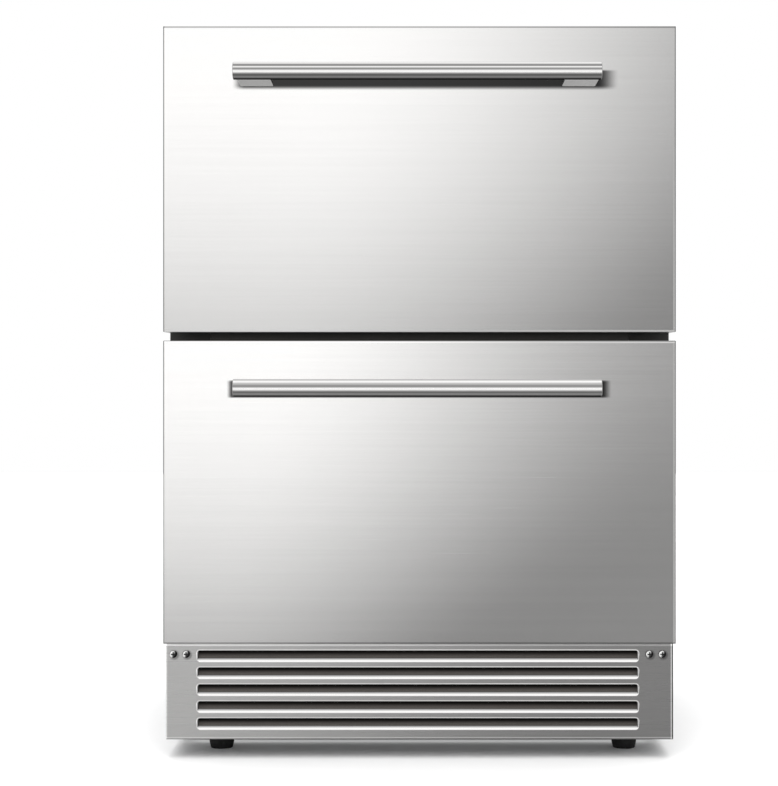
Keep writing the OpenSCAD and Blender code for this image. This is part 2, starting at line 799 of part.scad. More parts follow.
module handle_screws(z) {
    color("gainsboro") for (x = [-post_x, post_x]) translate([trim_x + x, face_y + 1, z])
        rotate([-90, 0, 0]) rotate_extrude()
            polygon([[0, -20], [2.5, -20], [2.5, 0], [5, 0], [5, 3], [3.5, 4], [0, 4]]);
}

// Side outline of the bin in (y, z); lower bins step up over the machine compartment
function bin_outline(z0, stepped, t) = stepped
    ? [[bin_front_y + t, z0 + bin_h], [bin_front_y + t, z0 + t], [step_bin_y - t, z0 + t],
       [step_bin_y - t, step_bin_z + t], [bin_back_y - t, step_bin_z + t], [bin_back_y - t, z0 + bin_h]]
    : [[bin_front_y + t, z0 + bin_h], [bin_front_y + t, z0 + t], [bin_back_y - t, z0 + t],
       [bin_back_y - t, z0 + bin_h]];

module bin_tray(z0, stepped) {
    inner_w = bin_half_w - sheet;
    color("gainsboro") {
        along_x(-inner_w, inner_w) difference() {
            polygon(bin_outline(z0, stepped, 0));
            intersection() {
                polygon(bin_outline(z0, stepped, sheet));
                translate([bin_front_y, z0]) square([bin_back_y - bin_front_y, bin_h + 1]);
            }
        }
        for (y = [bin_front_y + hem_r, bin_back_y - hem_r])
            translate([-inner_w + 2 * hem_r, y, z0 + bin_h]) rotate([0, 90, 0])
                cylinder(r = hem_r, h = 2 * inner_w - 4 * hem_r);
    }
}

module bin_sides(z0, stepped) {
    y_first = bin_front_y + 34;
    pitch = 28.5;
    color("gainsboro") both_sides() {
        along_x(bin_half_w - sheet, bin_half_w) difference() {
            polygon(bin_outline(z0, stepped, 0));
            for (k = [0 : vent_count - 1]) {
                y = y_first + k * pitch;
                if (!stepped || y < step_bin_y - 24) translate([y, z0 + 40]) obround(8, 104);
            }
        }
        translate([bin_half_w - hem_r, bin_front_y + sheet, z0 + bin_h]) rotate([-90, 0, 0])
            cylinder(r = hem_r, h = bin_back_y - bin_front_y - 2 * sheet);
    }
}

// Angle brackets in the bin's front corners, with the heads of the screws into the front
module corner_brackets(z0) {
    x1 = bin_half_w - sheet;
    y0 = bin_front_y + sheet;
    color("silver") both_sides() {
        along_z(z0 + 20, z0 + 230) polygon([[x1, y0], [x1 - 34, y0], [x1 - 34, y0 + panel],
            [x1 - panel, y0 + panel], [x1 - panel, y0 + 30], [x1, y0 + 30]]);
        for (z = [50, 125, 200]) translate([x1 - 20, y0 + panel, z0 + z]) rotate([-90, 0, 0])
            cylinder(r1 = 5, r2 = 3.5, h = 2.4);
    }
}

// ---------- feet ----------

module foot(x, y) {
    r = foot_dia / 2;
    color("black") translate([x, y, 0]) {
        rotate_extrude() polygon([[0, 0], [r - 2.8, 0], [r - 2.2, 0.8], [r, 14], [r, 18], [r - 1.5, 19.5],
                                  [r - 4, 19.5], [r - 5, foot_top_z], [0, foot_top_z]]);
        translate([0, 0, foot_top_z - 1]) cylinder(r = stud_r, h = 42);
    }
}

// ---------- assembly ----------

upper_handle_z = upper_front_z + upper_front_h - upper_handle_drop;
lower_handle_z = front_z + lower_front_h - lower_handle_drop;
upper_plug = [mullion_z + mullion_h + 6, ceiling_z - 6];
lower_plug = [floor_z + 6, mullion_z - 6];

outer_wrapper();
back_panel();
front_frame();
centre_mullion();
insulation_foam();
inner_liner();
evaporator_cover();
evaporator_coil();
evaporator_fan_frame();
evaporator_fan_blade();
led_lamp_cover();
control_panel();
base_pan();
compartment_plate();
toe_grille();
toe_grille_screws();
air_filter_frame();
air_filter_pad();
condenser_coil();
condenser_fan_shroud();
condenser_fan_blade();
compressor();
compressor_mounts();
refrigerant_lines();
drain_pan();
rear_cover();
rear_screws();
power_inlet();

slide_outer(upper_bin_z + slide_above_bin);  // upper_slide_outer
slide_middle(upper_bin_z + slide_above_bin);  // upper_slide_middle
slide_balls(upper_bin_z + slide_above_bin);  // upper_slide_balls
slide_inner(upper_bin_z + slide_above_bin);  // upper_slide_inner
slide_outer(lower_bin_z + slide_above_bin);  // lower_slide_outer
slide_middle(lower_bin_z + slide_above_bin);  // lower_slide_middle
slide_balls(lower_bin_z + slide_above_bin);  // lower_slide_balls
slide_inner(lower_bin_z + slide_above_bin);  // lower_slide_inner

front_skin(upper_front_z, upper_front_h, upper_handle_z);  // upper_front_skin
front_foam(upper_front_z, upper_front_h, upper_handle_z, upper_plug[0], upper_plug[1]);  // upper_front_foam
front_liner(upper_front_z, upper_front_h, upper_plug[0], upper_plug[1]);  // upper_front_liner
gasket(upper_front_z, upper_front_h);  // upper_gasket
handle_bar(upper_handle_z);  // upper_handle_bar
handle_posts(upper_handle_z);  // upper_handle_posts
handle_screws(upper_handle_z);  // upper_handle_screws
bin_tray(upper_bin_z, false);  // upper_bin_tray
bin_sides(upper_bin_z, false);  // upper_bin_sides
corner_brackets(upper_bin_z);  // upper_corner_brackets

front_skin(front_z, lower_front_h, lower_handle_z);  // lower_front_skin
front_foam(front_z, lower_front_h, lower_handle_z, lower_plug[0], lower_plug[1]);  // lower_front_foam
front_liner(front_z, lower_front_h, lower_plug[0], lower_plug[1]);  // lower_front_liner
gasket(front_z, lower_front_h);  // lower_gasket
handle_bar(lower_handle_z);  // lower_handle_bar
handle_posts(lower_handle_z);  // lower_handle_posts
handle_screws(lower_handle_z);  // lower_handle_screws
bin_tray(lower_bin_z, true);  // lower_bin_tray
bin_sides(lower_bin_z, true);  // lower_bin_sides
corner_brackets(lower_bin_z);  // lower_corner_brackets

foot(foot_xs[0], foot_ys[0]);  // foot_front_left
foot(foot_xs[1], foot_ys[0]);  // foot_front_right
foot(foot_xs[0], foot_ys[1]);  // foot_rear_left
foot(foot_xs[1], foot_ys[1]);  // foot_rear_right
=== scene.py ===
"""Looks of an undercounter refrigerator with two drawers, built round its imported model. Metres."""

import math

import bmesh
import bpy
from mathutils import Matrix, Vector


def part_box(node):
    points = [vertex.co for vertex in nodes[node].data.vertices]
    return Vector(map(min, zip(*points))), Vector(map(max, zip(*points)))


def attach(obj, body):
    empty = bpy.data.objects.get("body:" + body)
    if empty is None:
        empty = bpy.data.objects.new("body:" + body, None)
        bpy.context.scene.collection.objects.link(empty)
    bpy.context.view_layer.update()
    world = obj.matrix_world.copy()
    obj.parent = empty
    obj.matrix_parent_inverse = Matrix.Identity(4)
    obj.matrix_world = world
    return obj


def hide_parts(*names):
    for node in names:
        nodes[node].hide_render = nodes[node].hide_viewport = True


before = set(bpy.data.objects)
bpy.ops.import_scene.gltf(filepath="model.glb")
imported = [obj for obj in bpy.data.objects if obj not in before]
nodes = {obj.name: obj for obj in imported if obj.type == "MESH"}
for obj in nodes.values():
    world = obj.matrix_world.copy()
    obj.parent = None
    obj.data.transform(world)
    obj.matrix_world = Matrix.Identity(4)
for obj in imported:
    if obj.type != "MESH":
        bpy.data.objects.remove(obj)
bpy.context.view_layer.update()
MM = 0.001

# ---------- the photograph's frame ----------

PHOTO_W = 778
PHOTO_H = 786
EYE_X_PX = 419.5  # where the eye's own height and side meet the picture
EYE_Y_PX = 388.0
FRONT_W_PX = 513.1  # width of the drawer fronts in the picture
EYE_HEIGHT = 0.434
EYE_DISTANCE = 2.150  # from the drawer faces
SENSOR_H_MM = 36.0

front_low, front_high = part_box("upper_front_skin")
face_y = front_low.y
picture_h = PHOTO_H * (front_high.x - front_low.x) / FRONT_W_PX  # at the drawer faces


def add_camera():
    data = bpy.data.cameras.new("camera")
    data.sensor_fit = "VERTICAL"
    data.sensor_height = SENSOR_H_MM
    data.lens = SENSOR_H_MM * EYE_DISTANCE / picture_h
    data.shift_x = (PHOTO_W / 2 - EYE_X_PX) / PHOTO_H
    data.shift_y = (EYE_Y_PX - PHOTO_H / 2) / PHOTO_H
    data.clip_end = 50.0
    camera = bpy.data.objects.new("camera", data)
    camera.location = (0.0, face_y - EYE_DISTANCE, EYE_HEIGHT)
    camera.rotation_euler = (math.radians(90), 0.0, 0.0)
    bpy.context.collection.objects.link(camera)
    bpy.context.scene.camera = camera


# ---------- node graphs ----------

DISPLAY_GAMMA = 2.2


class Graph:
    """A node tree of a material or of the world, with short calls for the nodes used here.

    The calls take numbers or sockets. In the materials, a tone is a display level from 0 to 1."""

    def __init__(self, name, world=None):
        self.material = world or bpy.data.materials.new(name)
        self.material.use_nodes = True
        self.tree = self.material.node_tree
        self.shader = self.tree.nodes["Background" if world else "Principled BSDF"]
        self.coords = None

    def node(self, kind, **settings):
        made = self.tree.nodes.new("ShaderNode" + kind)
        for key, value in settings.items():
            setattr(made, key, value)
        return made

    def put(self, value, socket):
        """Links an output socket, or sets a plain number or colour."""
        if isinstance(value, bpy.types.NodeSocket):
            self.tree.links.new(value, socket)
        else:
            socket.default_value = value

    def math(self, operation, *values):
        made = self.node("Math", operation=operation)
        for value, socket in zip(values, made.inputs):
            self.put(value, socket)
        return made.outputs[0]

    def times(self, *values):
        product = values[0]
        for value in values[1:]:
            product = self.math("MULTIPLY", product, value)
        return product

    def plus(self, one, two):
        return self.math("ADD", one, two)

    def minus(self, one, two):
        return self.math("SUBTRACT", one, two)

    def over(self, value, limit):
        """1 where the value is over the limit, else 0."""
        return self.math("GREATER_THAN", value, limit)

    def under(self, value, limit):
        """1 where the value is under the limit, else 0."""
        return self.math("LESS_THAN", value, limit)

    def hypotenuse(self, one, two):
        return self.math("SQRT", self.plus(self.times(one, one), self.times(two, two)))

    def linear(self, tone):
        """A display level as the linear value that a shader takes."""
        return self.math("POWER", tone, DISPLAY_GAMMA)

    def mix(self, factor, one, two):
        """The number one where the factor is 0, two where it is 1."""
        made = self.node("Mix", data_type="FLOAT")
        for value, socket in zip((factor, one, two), (made.inputs[0], *made.inputs[2:4])):
            self.put(value, socket)
        return made.outputs[0]

    def remap(self, value, from_low, from_high, to_low, to_high, smooth=False):
        made = self.node("MapRange", interpolation_type="SMOOTHSTEP" if smooth else "LINEAR")
        for item, socket in zip((value, from_low, from_high, to_low, to_high), made.inputs):
            self.put(item, socket)
        return made.outputs[0]

    def rise(self, value, start, end):
        """From 0 at the start softly up to 1 at the end."""
        return self.remap(value, start, end, 0.0, 1.0, smooth=True)

    def drop(self, value, start, end):
        """From 1 at the start softly down to 0 at the end."""
        return self.remap(value, start, end, 1.0, 0.0, smooth=True)

    def band(self, value, start, end, soft):
        """1 where a value lies between start and end and 0 outside, softly."""
        return self.times(self.rise(value, start - soft, start + soft),
                          self.drop(value, end - soft, end + soft))

    def coordinates(self, kind="Object"):
        if self.coords is None:
            self.coords = self.node("TexCoord")
        return self.coords.outputs[kind]

    def xyz(self, kind="Object"):
        """The place on the object, or its normal, as three sockets."""
        parts = self.node("SeparateXYZ")
        self.put(self.coordinates(kind), parts.inputs[0])
        return parts.outputs

    def noise(self, scale, detail=2.0, roughness=0.5):
        """Noise from 0 to 1. Its features are 1/scale metres long: one scale, or one for each axis."""
        stretch = self.node("Mapping")
        self.put(self.coordinates(), stretch.inputs["Vector"])
        stretch.inputs["Scale"].default_value = scale if isinstance(scale, tuple) else (scale,) * 3
        made = self.node("TexNoise")
        self.put(stretch.outputs[0], made.inputs["Vector"])
        made.inputs["Scale"].default_value = 1.0
        made.inputs["Detail"].default_value = detail
        made.inputs["Roughness"].default_value = roughness
        return made.outputs[0]

    def spread(self, noise, low, high, tail=0.2):
        """A number that goes from low to high while the noise goes from tail to 1 - tail."""
        return self.remap(noise, tail, 1.0 - tail, low, high)

    def ramp(self, factor, stops, soft=False):
        """A curve of grey values over stops of (place, value)."""
        made = self.node("ValToRGB")
        made.color_ramp.interpolation = "EASE" if soft else "LINEAR"
        elements = made.color_ramp.elements
        while len(elements) < len(stops):
            elements.new(0.5)
        for element, (place, value) in zip(elements, stops):
            element.position = place
            element.color = (value, value, value, 1.0)
        self.put(factor, made.inputs[0])
        return made.outputs[0]

    def scaled(self, colour, factor):
        """A fixed colour times a grey socket."""
        made = self.node("Mix", data_type="RGBA", blend_type="MULTIPLY")
        made.inputs[0].default_value = 1.0
        made.inputs[6].default_value = (*colour, 1.0)
        self.put(factor, made.inputs[7])
        return made.outputs[2]

    def bump(self, height, strength, distance):
        made = self.node("Bump")
        made.inputs["Strength"].default_value = strength
        made.inputs["Distance"].default_value = distance
        self.put(height, made.inputs["Height"])
        self.put(made.outputs[0], self.shader.inputs["Normal"])

    def turn_to_front(self, amount):
        """Turns the bumped normal to the front, so that a bend mirrors the room in front of it."""
        turned = self.node("VectorMath", operation="ADD")
        self.put(self.shader.inputs["Normal"].links[0].from_socket, turned.inputs[0])
        towards = self.node("VectorMath", operation="SCALE")
        towards.inputs[0].default_value = (0.0, -1.0, 0.0)
        self.put(amount, towards.inputs["Scale"])
        self.put(towards.outputs[0], turned.inputs[1])
        whole = self.node("VectorMath", operation="NORMALIZE")
        self.put(turned.outputs[0], whole.inputs[0])
        self.put(whole.outputs[0], self.shader.inputs["Normal"])

    def surface(self, colour, factor, **values):
        """Sets the colour, times a grey socket, and the other values, and returns the material."""
        names = {"metallic": "Metallic", "rough": "Roughness", "coat": "Coat Weight",
                 "coat_rough": "Coat Roughness", "specular": "Specular IOR Level",
                 "glow": "Emission Color", "glow_strength": "Emission Strength"}
        self.put(self.scaled(colour, factor), self.shader.inputs["Base Color"])
        for key, value in values.items():
            if isinstance(value, tuple):
                value = (*value, 1.0)
            self.put(value, self.shader.inputs[names[key]])
        return self.material


# ---------- brushed steel sheets ----------

STEEL_TINT = (1.0, 0.992, 0.982)
SKIN_BEND = 3.0 * MM  # bend radius of the fronts' edges
GRILLE_BEND = 2.6 * MM
BRUSH_DEPTH = 0.00008
LINE_SOFTNESS = 0.2 * MM
FRONT_SIDE_TONE = 0.74  # of the folded sides
GRILLE_SIDE_TONE = 0.62
BAR_SHADE = 0.24  # the share of a tone that is left in a bar's shade
BAR_SHADE_THINNING = 0.85  # the share of the shade that goes between the posts

# How the painted light of a front falls off, a painted reflection of the room: its white corner, how
# much it falls over the height and with what power, how much to the right and between which shares of
# the width, how far that leans with the height, the tone that it doesn't fall below, and the strength
# of its streaks. All but the streaks are a least-squares fit of the falloff below to the fronts in the
# photograph.
UPPER_FALL = {"white": 1.006, "down": 0.176, "power_down": 2.01,
              "right": 0.80, "start": 0.303, "end": 2.127, "skew": 0.153,
              "floor": 0.534, "streaks": 0.62}
LOWER_FALL = {"white": 1.006, "down": 0.267, "power_down": 1.74,
              "right": 0.405, "start": 0.199, "end": 1.157, "skew": 0.133,
              "floor": 0.535, "streaks": 0.85}

# The shade on a front behind its bar, in mm: where it ends at the sides, how softly, and how
# softly it ends below.
UPPER_SHADE = {"left": -210, "soft_left": 8, "right": 219, "soft_right": 13, "soft_below": 4.0}
LOWER_SHADE = {"left": -220.2, "soft_left": 4, "right": 217.4, "soft_right": 6, "soft_below": 1.8}

# Painted highlights and shades of a sheet's bends along its outer edges: side, start and end in mm from
# the edge, how the line changes the tone there, and by which number.
UPPER_LINES = [("left", 1.1, 2.1, "MULTIPLY", 0.95), ("right", 1.1, 3.2, "MAXIMUM", 0.69),
               ("below", 0.3, 2.2, "MAXIMUM", 0.72), ("above", -1.0, 2.4, "MULTIPLY", 0.74),
               ("left", -1.0, 1.0, "SET", 0.15), ("right", -1.0, 1.1, "SET", 0.15),
               ("below", -1.0, 0.2, "SET", 0.5)]
LOWER_LINES = [("left", 1.1, 2.1, "MULTIPLY", 0.96), ("right", 1.1, 3.2, "MAXIMUM", 0.69),
               ("above", 1.5, 2.8, "MULTIPLY", 1.07), ("above", 1.5, 2.8, "MAXIMUM", 0.82),
               ("above", -1.0, 0.6, "SET", 0.45), ("below", -1.0, 1.9, "MULTIPLY", 0.77),
               ("left", -1.0, 1.0, "SET", 0.15), ("right", -1.0, 1.1, "SET", 0.15)]
GRILLE_LINES = [("left", -1.0, 1.7, "SET", 0.88), ("right", 1.4, 3.1, "MULTIPLY", 1.52),
                ("above", 1.0, 3.3, "MULTIPLY", 1.28), ("below", 1.7, 3.0, "MULTIPLY", 0.69),
                ("below", 1.7, 3.0, "ADD", 0.34), ("right", -1.0, 1.3, "SET", 0.03),
                ("below", -1.0, 0.7, "SET", 0.42)]


def brush_streaks(g, fine, coarse):
    """Long horizontal streaks round 1.0, and the fine ones alone for bump and roughness."""
    thin = g.noise((6.0, 6.0, 1400.0), detail=3.0, roughness=0.65)
    wide = g.noise((1.6, 1.6, 190.0))
    return g.plus(g.spread(thin, 1.0 - fine, 1.0 + fine), g.spread(wide, -coarse, coarse)), thin


def paint_edge_highlights_and_shades(g, tone, x, z, lo, hi, lines):
    """Paints thin highlights and shades of a sheet's bends along its outer edges."""
    depth = {"left": g.minus(x, lo.x), "right": g.minus(hi.x, x),
             "below": g.minus(z, lo.z), "above": g.minus(hi.z, z)}
    for side, start, end, how, level in lines:
        there = g.band(depth[side], start * MM, end * MM, LINE_SOFTNESS)
        tone = g.mix(there, tone, level if how == "SET" else g.math(how, tone, level))
    return tone


def painted_light_falloff(g, x, z, lo, hi, fall):
    """Painted light: a tone that falls from the upper left to the lower right between two corners."""
    u = g.remap(x, lo.x, hi.x, 0.0, 1.0)
    v = g.remap(z, hi.z, lo.z, 0.0, 1.0)
    down = g.times(g.math("POWER", v, fall["power_down"]), fall["down"])
    right = g.remap(g.plus(u, g.times(v, fall["skew"])), fall["start"], fall["end"],
                    0.0, fall["right"], smooth=True)
    softness = 0.12
    return g.math("SMOOTH_MAX", g.minus(g.minus(fall["white"], down), right), fall["floor"], softness)


def shade_behind_bar(g, x, z, bar, shade):
    """How much of the bar's shade lies on a front, from 0 to 1.

    Between the posts it thins out upwards from the line that the bar covers for the eye."""
    lo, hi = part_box(bar)
    left, right, soft_left, soft_right, soft_below = [
        shade[key] * MM for key in ("left", "right", "soft_left", "soft_right", "soft_below")]
    across = g.times(g.rise(z, lo.z - 1.3 * soft_below, lo.z + 0.3 * soft_below),
                     g.drop(z, hi.z - 3.2 * MM, hi.z - 0.2 * MM))
    along = g.times(g.rise(x, left - soft_left, left + soft_left),
                    g.drop(x, right - soft_right, right + soft_right))
    bar_distance = EYE_DISTANCE + (lo.y + hi.y) / 2 - face_y
    covered = EYE_HEIGHT + (lo.z - EYE_HEIGHT) * EYE_DISTANCE / bar_distance
    thinning = g.remap(z, covered + 1 * MM, hi.z - 2 * MM, 0.0, BAR_SHADE_THINNING, smooth=True)
    thinned = g.times(thinning, g.band(x, lo.x + 12 * MM, hi.x - 12 * MM, 6 * MM))
    return g.times(across, along, g.minus(1.0, thinned))


def front_steel(side, fall, lines, shade):
    """Brushed stainless steel of one drawer front, with a painted reflection, painted shade and painted
    highlights.
    """
    node = side + "_front_skin"
    lo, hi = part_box(node)
    g = Graph(node + "_steel")
    x, y, z = g.xyz()
    streaks, thin = brush_streaks(g, fine=0.013, coarse=0.007)
    # painted light: the tone falls off from the upper left, with the brush streaks on it
    tone = g.plus(painted_light_falloff(g, x, z, lo, hi, fall), g.times(g.minus(streaks, 1.0), fall["streaks"]))
    shaded = shade_behind_bar(g, x, z, side + "_handle_bar", shade)
    tone = g.times(tone, g.mix(shaded, 1.0, BAR_SHADE))
    # painted highlights and shades along the front's edges
    tone = paint_edge_highlights_and_shades(g, tone, x, z, lo, hi, lines)
    # the folded sides are an even grey
    folded = g.over(y, lo.y + SKIN_BEND + 0.05 * MM)
    tone = g.mix(folded, tone, g.times(streaks, FRONT_SIDE_TONE))
    # the bends mirror the room in front
    g.bump(thin, 0.12, BRUSH_DEPTH)
    facing = g.times(g.xyz("Normal")[1], -1.0)
    g.turn_to_front(g.times(g.minus(1.0, folded), g.remap(facing, 0.9, 0.995, 2.5, 0.0)))
    return g.surface(STEEL_TINT, g.linear(tone), metallic=1.0, rough=g.spread(thin, 0.2, 0.28))


def plain_steel(name, level, rough, across="Z", tint=STEEL_TINT, undersides=0.0):
    """Brushed steel of one linear value, its streaks across an axis. Undersides may mirror the front."""
    g = Graph(name)
    thin = g.noise(tuple(1200.0 if axis == across else 5.0 for axis in "XYZ"), detail=3.0, roughness=0.6)
    patches = g.noise(9.0, detail=3.0)
    value = g.times(g.spread(thin, 0.94, 1.05), g.spread(patches, 0.95, 1.04, tail=0.3), level)
    g.bump(thin, 0.1, BRUSH_DEPTH)
    if undersides:
        g.turn_to_front(g.times(g.under(g.xyz("Normal")[2], -0.5), undersides))
    return g.surface(tint, value, metallic=1.0, rough=g.spread(thin, rough - 0.04, rough + 0.06))


# ---------- handle bars ----------

# Tones round the bars from below to above, one stop for each light or dark band that shows: painted
# reflections of the lights and flags of a photo studio.
UPPER_BANDS = [(0.0, 0.1), (0.1, 0.5), (0.2, 0.35), (0.4, 1.0), (0.55, 0.55), (0.65, 0.95),
               (0.75, 0.5), (0.9, 0.95), (1.0, 0.85)]
LOWER_BANDS = [(0.0, 0.05), (0.15, 0.55), (0.25, 0.4), (0.45, 1.0), (0.6, 0.55), (0.75, 0.75),
               (0.85, 1.0), (1.0, 0.7)]
BAR_REAR_TONE = 0.92
BAR_END_TONE = 0.62


def bar_steel(side, bands):
    """Polished round bar, its painted reflections as bands of tone fixed round it."""
    lo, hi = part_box(side + "_handle_bar")
    g = Graph(side + "_bar_steel")
    z = g.xyz()[2]
    nx, ny = g.xyz("Normal")[:2]
    tone = g.ramp(g.remap(z, lo.z, hi.z, 0.0, 1.0), bands, soft=True)
    tone = g.mix(g.remap(ny, 0.3, 0.6, 0.0, 1.0), tone, BAR_REAR_TONE)
    tone = g.mix(g.remap(g.math("ABSOLUTE", nx), 0.3, 0.7, 0.0, 1.0), tone, BAR_END_TONE)
    thin = g.noise((3.0, 900.0, 900.0))
    tone = g.times(tone, g.spread(thin, 0.985, 1.015))
    g.bump(thin, 0.05, 0.00004)
    g.turn_to_front(g.times(g.under(ny, 0.1), 1.3))
    return g.surface(STEEL_TINT, g.linear(tone), metallic=1.0, rough=g.spread(thin, 0.13, 0.19))


# ---------- the toe grille's sheet, screws and filter ----------

SLOT_TOP = 128.1 * MM  # the first slot's upper edge
SLOT_PITCH = 19.75 * MM
SLOT_H = 13.6 * MM
SLOT_HALF_L = 257.2 * MM
SLOT_MIDDLE = -2.0 * MM
SLOT_R = 3.4 * MM
SLOT_COUNT = 5
LIP_START = 0.3 * MM  # depth behind the grille's face where a slot's lip starts
LIP_END = 5.5 * MM
SCREW_R = 4.5 * MM
SCREW_HEAD_H = 2.8 * MM
SCREW_Z = 123.8 * MM
SCREW_X = 277.5 * MM  # the middle of a pair, from the middle of the slots
SCREW_SPACING = 15 * MM
SHADE_SHIFT = 1.2 * MM  # how far right of a screw and below it its shade lies


def slot_distance(g, x, z):
    """How far a point of the grille lies outside its nearest slot, and how far above its middle."""
    row = g.math("DIVIDE", g.minus(SLOT_TOP - SLOT_H / 2, z), SLOT_PITCH)
    nearest = g.math("MINIMUM", g.math("MAXIMUM", g.math("ROUND", row), 0.0), SLOT_COUNT - 1.0)
    up = g.times(g.minus(nearest, row), SLOT_PITCH)
    along = g.math("ABSOLUTE", g.minus(x, SLOT_MIDDLE))
    out_x = g.math("MAXIMUM", g.minus(along, SLOT_HALF_L - SLOT_R), 0.0)
    out_z = g.math("MAXIMUM", g.minus(g.math("ABSOLUTE", up), SLOT_H / 2 - SLOT_R), 0.0)
    return g.minus(g.hypotenuse(out_x, out_z), SLOT_R), up


def screw_shades(g, x, z):
    """1.0, and darker at the lower right of each screw."""
    pair = g.math("ABSOLUTE", g.minus(x, SLOT_MIDDLE + SHADE_SHIFT))
    aside = g.minus(g.math("ABSOLUTE", g.minus(pair, SCREW_X)), SCREW_SPACING / 2)
    reach = g.hypotenuse(aside, g.minus(z, SCREW_Z - SHADE_SHIFT))
    return g.remap(reach, SCREW_R - 0.5 * MM, SCREW_R + 2.2 * MM, 0.74, 1.0, smooth=True)


def slot_rims(g, tone, x, depth, outside, up):
    """Paints highlights on the slots' rolled edges: thin and white below, wider and greyer above and
    right.
    """
    width = g.remap(up, -0.5 * SLOT_H, 0.2 * SLOT_H, -0.1 * MM, 0.9 * MM)
    rim = g.times(g.drop(outside, width, g.plus(width, 0.6 * MM)), g.under(depth, LIP_START))
    right_end = g.over(x, SLOT_MIDDLE + SLOT_HALF_L)
    rim_painted_highlight = g.times(g.remap(up, 0.25 * SLOT_H, 0.5 * SLOT_H, 0.97, 0.84), g.mix(right_end, 1.0, 0.86))
    return g.mix(rim, tone, rim_painted_highlight)


def slot_lips(g, depth, outside, nx, nz):
    """Where the slots' lips are, and the painted light on them.

    They are white where they look up, dark where they look down or away from the light."""
    lip = g.times(g.over(depth, LIP_START), g.under(outside, 0.4 * MM), g.under(depth, LIP_END))
    lip_painted_light = g.times(g.remap(nz, -0.3, 0.2, 0.15, 1.0),
                       g.remap(depth, 1.6 * MM, 4.2 * MM, 1.0, 0.42),
                       g.remap(nx, 0.3, 0.8, 1.0, 0.7))
    return lip, lip_painted_light


def grille_steel():
    """The toe grille's sheet with painted light: greyer to the right, painted highlights on its slots'
    lips.
    """
    lo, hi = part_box("toe_grille")
    g = Graph("toe_grille_steel")
    x, y, z = g.xyz()
    nx, ny, nz = g.xyz("Normal")
    depth = g.minus(y, lo.y)
    streaks, thin = brush_streaks(g, fine=0.006, coarse=0.006)
    # painted light: the sheet's tone falls to the right, with painted shadows below right of the screws
    tone = g.times(g.remap(x, lo.x, hi.x, 0.69, 0.495, smooth=True), streaks, screw_shades(g, x, z))
    # painted highlights and shades along the sheet's edges
    tone = paint_edge_highlights_and_shades(g, tone, x, z, lo, hi, GRILLE_LINES)
    # the sheet's folded sides are an even grey
    tone = g.mix(g.over(depth, GRILLE_BEND), tone, g.times(streaks, GRILLE_SIDE_TONE))
    outside, up = slot_distance(g, x, z)
    # painted highlights on the slots' rims and painted light and shade on their lips
    tone = slot_rims(g, tone, x, depth, outside, up)
    lip, lip_painted_light = slot_lips(g, depth, outside, nx, nz)
    tone = g.mix(lip, tone, lip_painted_light)
    # the lips and the outer bends are rolled, so they mirror the room in front of them
    g.bump(thin, 0.1, BRUSH_DEPTH)
    facing = g.times(ny, -1.0)
    bent = g.times(g.under(depth, GRILLE_BEND - 0.1 * MM), g.remap(facing, 0.9, 0.995, 2.2, 0.0))
    rolled = g.times(lip, g.over(nz, -0.3), 2.2)
    g.turn_to_front(g.math("MAXIMUM", bent, rolled))
    return g.surface(STEEL_TINT, g.linear(tone), metallic=1.0, rough=g.spread(thin, 0.24, 0.34))


def grille_screw_metal():
    """Bright screws lit from the upper left: their lower right sides are dark."""
    g = Graph("grille_screws")
    nx, _, nz = g.xyz("Normal")
    lit = g.remap(g.minus(g.times(nz, 0.45), nx), -0.8, 0.8, 0.0, 1.0)
    tone = g.ramp(lit, [(0.0, 0.16), (0.22, 0.10), (0.36, 0.22), (0.46, 0.60), (0.52, 0.86),
                        (0.62, 1.0), (0.84, 0.95), (1.0, 0.5)])
    turned = g.noise(700.0)
    tone = g.times(tone, g.spread(turned, 0.94, 1.05))
    return g.surface((0.95, 0.95, 0.94), g.linear(tone), metallic=1.0, rough=g.spread(turned, 0.12, 0.2))


def filter_foam():
    """Open-pored grey-brown foam of the air filter, darkest in the shade under each slat."""
    g = Graph("filter_foam")
    x, _, z = g.xyz()
    up = slot_distance(g, x, z)[1]
    pores = g.noise(1100.0, detail=3.0, roughness=0.7)
    shade = g.remap(up, -0.15 * SLOT_H, 0.30 * SLOT_H, 1.0, 0.06, smooth=True)
    g.bump(pores, 0.7, 0.0006)
    return g.surface((0.118, 0.108, 0.100), g.times(g.spread(pores, 0.75, 1.15, tail=0.3), shade),
                     rough=0.95, specular=0.05)


# ---------- other materials ----------


def painted(name, colour, rough=0.45, coat=0.0, specular=0.5):
    """Powder-coated or painted sheet with a fine orange-peel skin."""
    g = Graph(name)
    peel = g.noise(625.0)
    cloud = g.noise(7.0, detail=3.0)
    g.bump(peel, 0.25, 0.00015)
    value = g.times(g.spread(cloud, 0.95, 1.04, tail=0.3), g.spread(peel, 0.93, 1.06, tail=0.3))
    return g.surface(colour, value, rough=g.spread(cloud, rough - 0.03, rough + 0.04, tail=0.3),
                     coat=coat, coat_rough=0.2, specular=specular)


def moulded(name, colour, rough=0.5, texture=1500.0, specular=0.5):
    """Moulded plastic with a fine spark-eroded grain."""
    g = Graph(name)
    grain = g.noise(texture, roughness=0.6)
    cloud = g.noise(5.0)
    g.bump(grain, 0.2, 0.00008)
    value = g.times(g.spread(grain, 0.97, 1.03, tail=0.3), g.spread(cloud, 0.96, 1.03, tail=0.3))
    return g.surface(colour, value, rough=g.spread(grain, rough - 0.05, rough + 0.05, tail=0.3),
                     specular=specular)


def rubber(name, colour):
    """Matt rubber with a little dust."""
    g = Graph(name)
    grain = g.noise(2500.0, detail=3.0, roughness=0.7)
    dust = g.noise(60.0, detail=4.0, roughness=0.6)
    g.bump(grain, 0.3, 0.0001)
    return g.surface(colour, g.remap(dust, 0.35, 0.75, 0.94, 1.2),
                     rough=g.spread(grain, 0.62, 0.78, tail=0.3), specular=0.3)


